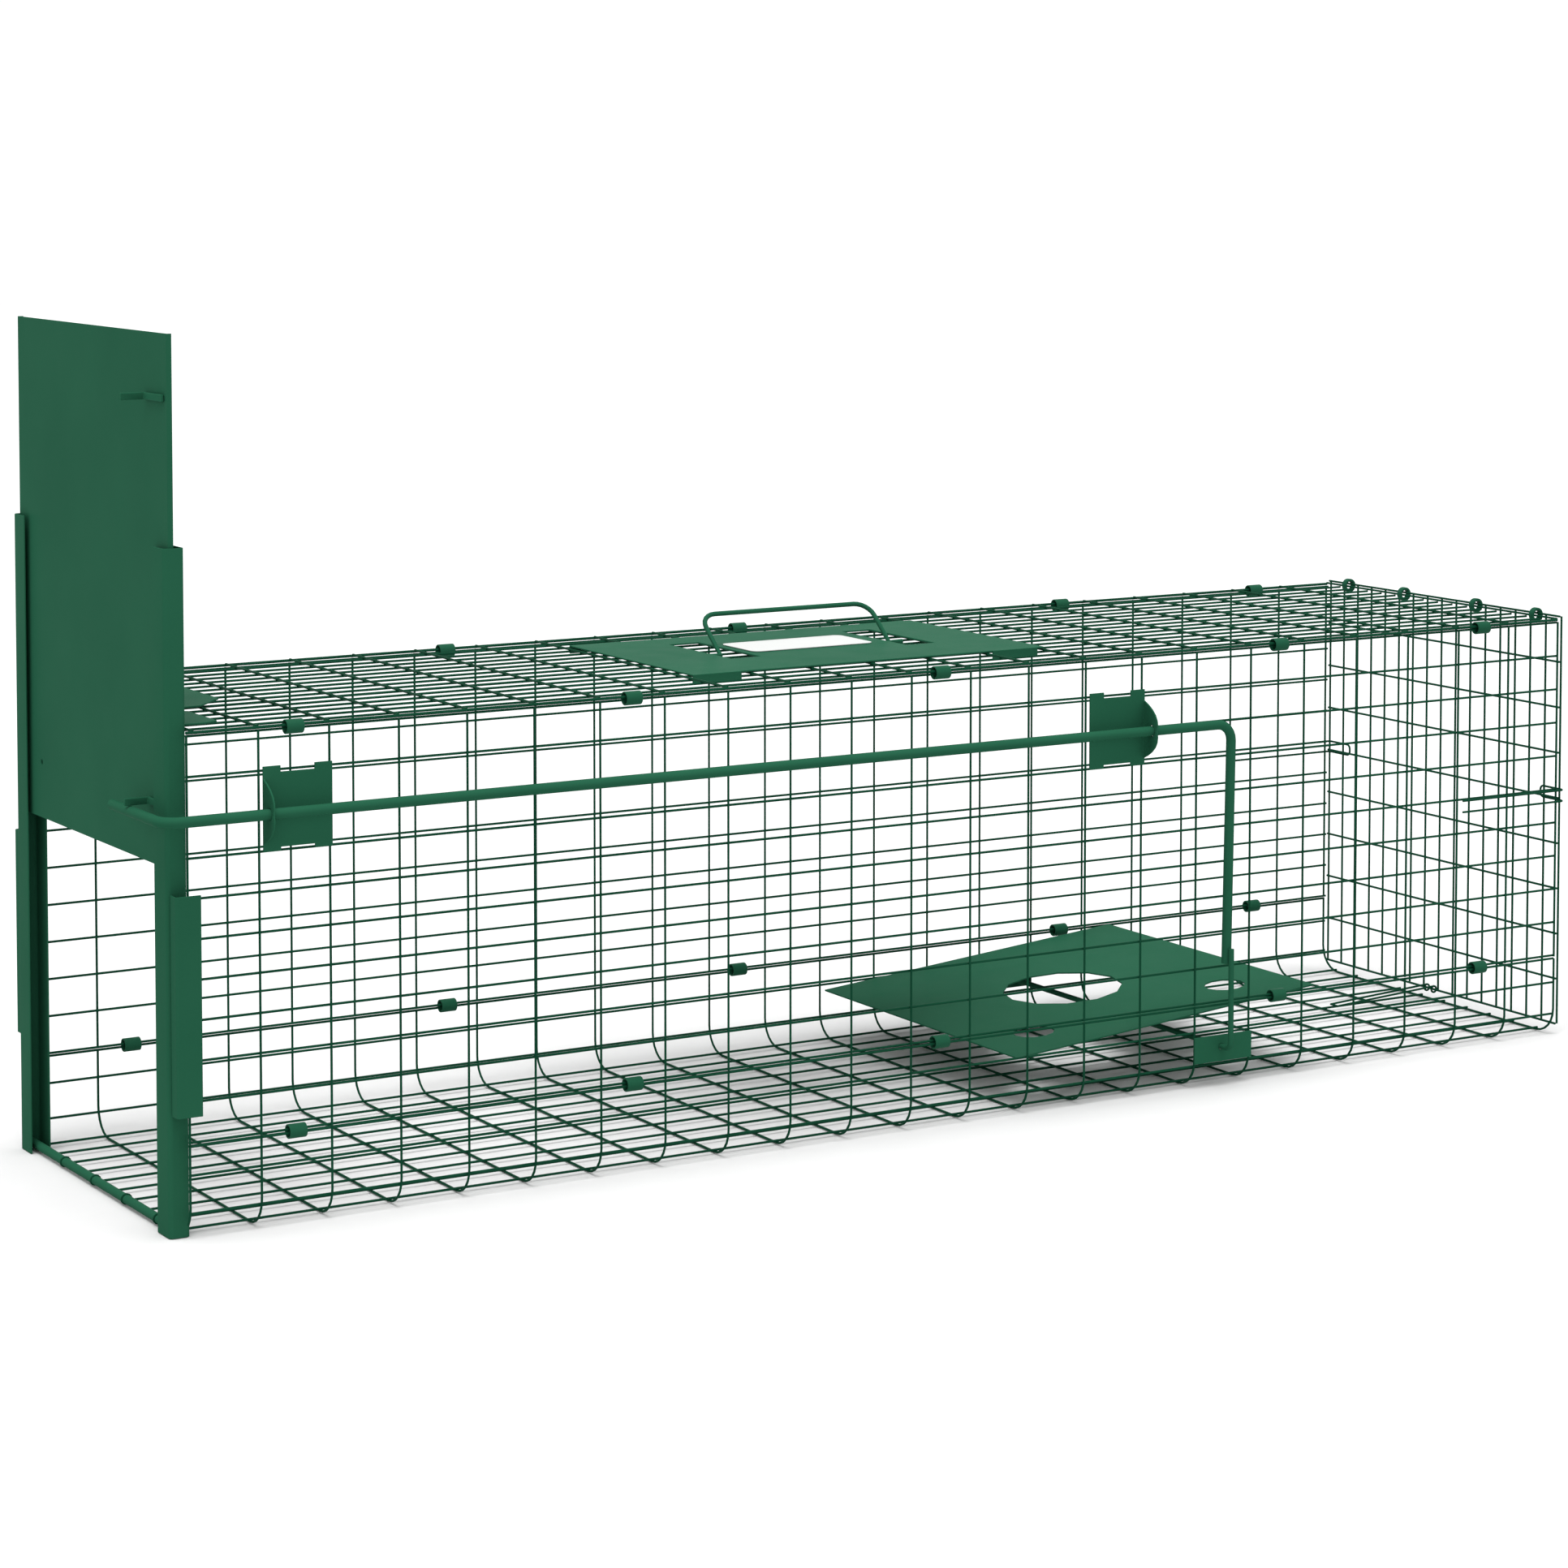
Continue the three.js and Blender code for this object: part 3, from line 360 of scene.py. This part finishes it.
parts = [row_of(hoop, (CELL, 0, 0), CELLS_LONG, CORNER)]
for sign, y in ((1, near_y), (-1, far_y)):
    arc = [(front_x, y + sign * CORNER * (1 - math.cos(a)), floor_z + CORNER * (1 - math.sin(a)))
           for a in (math.radians(9 * k) for k in range(5))]
    parts.append(wire([(front_x, y, edge_z)] + arc, WIRE_RADIUS, sides=1))
    for height, inset in ((edge_z, EDGE_INSET), *LOWER_ROWS):
        parts.append(wire([(front_x, y + sign * inset, height), (rear_x, y + sign * inset, height)],
                          WIRE_RADIUS, sides=1))

FLOOR_WIRES, FLOOR_PITCH = 10, 0.027
sill_low, sill_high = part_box("sill_bar")
sill = [(a + b) / 2 for a, b in zip(sill_low, sill_high)]
bar_radius = (sill_high[2] - sill_low[2]) / 2
middle_y = (near_y + far_y) / 2
over_floor = floor_z + 2 * WIRE_RADIUS * FUSED
for k in range(FLOOR_WIRES):
    y = middle_y + (k - (FLOOR_WIRES - 1) / 2) * FLOOR_PITCH
    start = behind_guides
    if 0 < k < FLOOR_WIRES - 1:
        start = sill[0] + bar_radius + WIRE_RADIUS * 0.5
    run = [(start, y, over_floor), (rear_x, y, over_floor)]
    if k in WRAPPED:
        around = bar_radius + WIRE_RADIUS * 0.1
        angles = [math.radians(WRAP_START - WRAP_STEP * n) for n in reversed(range(WRAP_POINTS))]
        run = [(sill[0] + around * math.cos(a), y + WRAP_DRIFT * a / math.pi,
                sill[2] + around * math.sin(a)) for a in angles]
        run[-1:] = [(start + RUN_GAP, y, over_floor), (rear_x, y, over_floor)]
    parts.append(wire(run, WIRE_RADIUS, sides=1))
hand_over(joined(parts), "tray_mesh", "floor_tray")
print("tray built of", len(parts), "wires")

# %% [markdown]
# Rods and the carry handle are bent wire too, only thicker. Each follows the same path as its solid.
# %% Rods and handle
ROD, ROD_BEND, ROD_LEAN = 0.0035, 0.012, 0.0041
AXLE, AXLE_BEND = 0.002, 0.005
GRIP, GRIP_BEND, GRIP_PIN = 0.00175, 0.012, 0.011


def sweep(name, node, points, radius, bend, sides=4):
    """A bent rod that takes the place of one node."""
    return hand_over(wire(points, radius, bend, sides=sides), name, node)


low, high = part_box("trigger_rod")
crank_x, leg_x = low[0] + ROD, high[0] - ROD
rod_y, rod_z = low[1] + ROD, high[2] - ROD
rod_path = [(crank_x, high[1], rod_z), (crank_x, rod_y, rod_z), (leg_x, rod_y, rod_z),
            (leg_x, rod_y + ROD_LEAN, low[2])]
sweep("bent_trigger_rod", "trigger_rod", rod_path, ROD, ROD_BEND, 5)

low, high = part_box("treadle_axle")
arm_x, axle_z = (low[0] + high[0]) / 2, low[2] + AXLE
sweep("bent_axle", "treadle_axle",
      [(arm_x, high[1], axle_z), (arm_x, low[1] + AXLE, axle_z), (arm_x, low[1] + AXLE, high[2])],
      AXLE, AXLE_BEND)

low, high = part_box("carry_handle")
pivot_y, pivot_z, grip_y, grip_z = low[1] + GRIP, low[2] + GRIP, high[1] - GRIP, high[2] - GRIP
left, right = low[0] + GRIP_PIN, high[0] - GRIP_PIN
handle = rounded([(left, pivot_y, pivot_z), (left, grip_y, grip_z), (right, grip_y, grip_z),
                  (right, pivot_y, pivot_z)], GRIP_BEND)
handle = [(low[0], pivot_y, pivot_z), *handle, (high[0], pivot_y, pivot_z)]
sweep("bent_carry_handle", "carry_handle", handle, GRIP, 0.0)
sweep("round_sill_bar", "sill_bar", [(sill[0], sill_low[1], sill[2]), (sill[0], sill_high[1], sill[2])],
      bar_radius, 0.0, 5)
print("rods bent")

# %% [markdown]
# The rear door is shut by hairpins of spring wire: two legs that run along the cage, joined by a rounded
# end that hooks round the door's outer wires. The one on the floor ends in two small curled eyes
# instead, which keep it from slipping off. A curl is just points on most of a circle.
# %% Hairpins
PIN, HOOK_BEND = 0.0008, 0.0033
EYE, EYE_REACH = 0.0024, 0.0034  # an eye's radius, and its centre from the end


def curl(centre, across, up, radius, start, turn, steps=14):
    """Points on a circle in the plane of two directions, from start degrees through turn degrees."""
    return [Vector(centre) + radius * (math.cos(a) * Vector(across) + math.sin(a) * Vector(up))
            for a in (math.radians(start + turn * k / steps) for k in range(steps + 1))]


for side, sign in (("near", -1), ("far", 1)):
    low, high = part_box("latch_" + side)
    y, tip = (low[1] + PIN, high[1] - PIN) if sign < 0 else (high[1] - PIN, low[1] + PIN)
    free, end, z0, z1 = low[0] + PIN, high[0] - PIN, low[2] + PIN, high[2] - PIN
    path = [(free, y, z0), (end, y, z0), (end, tip, z0), (end, tip, z1), (end, y, z1), (free, y, z1)]
    sweep("hairpin_" + side, "latch_" + side, path, PIN, HOOK_BEND, 3)

low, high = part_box("latch_floor")
y0, y1 = low[1] + PIN, high[1] - PIN
rear, start_z, end_z = high[0] - EYE_REACH, low[2] + PIN, high[2] - PIN
path = [(rear, y0, end_z), (low[0] + PIN, y0, start_z), (low[0] + PIN, y1, start_z), (rear, y1, end_z)]
eyes = [curl((rear, y, end_z - EYE), (1, 0, 0), (0, 0, 1), EYE, 90, -330) for y in (y0, y1)]
sweep("hairpin_floor", "latch_floor", [*reversed(eyes[0]), *path[1:3], *eyes[1]], PIN, 0.0, 3)
print("hairpins bent")

# %% [markdown]
# Folded sheet has small rounded edges that catch the light. A copy of each flat part is merged, its
# flat faces are dissolved back to whole ones, and a fine bevel rounds the edges.
# %% Sheet parts
SHARP, SAME_POINT = math.radians(30), 2e-6


def eased(node, name, width):
    """A copy of a node with its edges rounded by a fine bevel."""
    source = frame["nodes"][node]
    alone(source)
    bpy.ops.object.duplicate()
    made = bpy.context.object
    bpy.ops.object.parent_clear(type="CLEAR_KEEP_TRANSFORM")
    bpy.ops.object.mode_set(mode="EDIT")
    bpy.ops.mesh.select_all(action="SELECT")
    bpy.ops.mesh.remove_doubles(threshold=SAME_POINT)
    bpy.ops.mesh.dissolve_limited(angle_limit=math.radians(1))
    bpy.ops.object.mode_set(mode="OBJECT")
    smooth(made, 35)
    edge = made.modifiers.new("eased", "BEVEL")
    edge.width, edge.segments = width, 2
    edge.limit_method, edge.angle_limit = "ANGLE", SHARP
    edge.harden_normals = True
    bpy.ops.object.modifier_apply(modifier=edge.name)
    return hand_over(made, name, node)


SHEETS = {"door_guide_near": 0.0003, "door_guide_far": 0.0003, "guide_clamp_near": 0.0004,
          "guide_clamp_far": 0.0004, "top_bridge": 0.0004, "drop_door": 0.0003,
          "door_catch_lower": 0.0005, "door_catch_upper": 0.0005, "rod_bracket_front": 0.0003,
          "rod_bracket_rear": 0.0003, "treadle_plate": 0.0003, "axle_plate_near": 0.0003,
          "axle_plate_far": 0.0003, "handle_plate": 0.0004}
for node, width in SHEETS.items():
    eased(node, "folded_" + node, width)
print("sheet parts eased:", len(SHEETS))

# %% [markdown]
# Clips are short strips of sheet rolled round two wires, and the door's hinges are rings of the same
# kind. Both start as an open tube of one sheet, which is given its wall by a solidify and has its rims
# rounded by a bevel. Each is modelled once and copied to every place, each copy with its own mesh.
# %% Clips and hinge rings
CLIP_RADIUS, CLIP_WALL, CLIP_LENGTH = 0.0046, 0.0009, 0.012
RING_WALL = 0.0021
SHORTER = 0.0002  # the tube is made this much shorter than its solid


def rolled(radius, wall, length, turn):
    """A short rolled tube with its axis turned from Z, its rims rounded."""
    bpy.ops.object.select_all(action="DESELECT")
    bpy.ops.mesh.primitive_cylinder_add(vertices=28, radius=radius - wall / 2,
                                        depth=length - SHORTER, end_fill_type="NOTHING",
                                        rotation=turn)
    made = bpy.context.object
    bpy.ops.object.transform_apply(location=True, rotation=True, scale=True)
    sheet = made.modifiers.new("wall", "SOLIDIFY")
    sheet.thickness, sheet.offset = wall, 0
    bpy.ops.object.modifier_apply(modifier=sheet.name)
    rim = made.modifiers.new("rim", "BEVEL")
    rim.width, rim.segments, rim.limit_method, rim.angle_limit = wall / 3, 3, "ANGLE", math.radians(50)
    bpy.ops.object.modifier_apply(modifier=rim.name)
    smooth(made, 50)
    return made


ring_low, ring_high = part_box("hinge_ring_near_inner")
patterns = {"clip_": rolled(CLIP_RADIUS, CLIP_WALL, CLIP_LENGTH, (0, math.pi / 2, 0)),
            "hinge_ring_": rolled((ring_high[0] - ring_low[0]) / 2, RING_WALL,
                                  ring_high[1] - ring_low[1], (math.pi / 2, 0, 0))}
for start, pattern in patterns.items():
    places = [node for node in frame["nodes"] if node.startswith(start)]
    for node in places:
        low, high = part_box(node)
        alone(pattern)
        bpy.ops.object.duplicate()
        made = bpy.context.object
        made.location = [(a + b) / 2 for a, b in zip(low, high)]
        hand_over(made, "rolled_" + node, node)
    alone(pattern)
    bpy.ops.object.delete()
    print(start, "copies:", len(places))

# %% [markdown]
# The label is a thin plastic sticker with round corners. A square is scaled to the label's size, only
# its corners are bevelled, and the flat shape is given its thickness. It carries no lettering.
# %% Label
LABEL_CORNER = 0.006
low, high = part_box("label_plate")
bpy.ops.object.select_all(action="DESELECT")
bpy.ops.mesh.primitive_plane_add(size=1, location=[(a + b) / 2 for a, b in zip(low, high)])
label = bpy.context.object
label.scale = (high[0] - low[0], high[1] - low[1], 1)
bpy.ops.object.transform_apply(location=True, rotation=True, scale=True)
corners = label.modifiers.new("corners", "BEVEL")
corners.affect, corners.width, corners.segments = "VERTICES", LABEL_CORNER, 6
bpy.ops.object.modifier_apply(modifier=corners.name)
body = label.modifiers.new("body", "SOLIDIFY")
body.thickness, body.offset = high[2] - low[2], 0
bpy.ops.object.modifier_apply(modifier=body.name)
hand_over(label, "rounded_label", "label_plate")
print("label", tuple(round(v * 1000, 1) for v in label.dimensions), "mm")
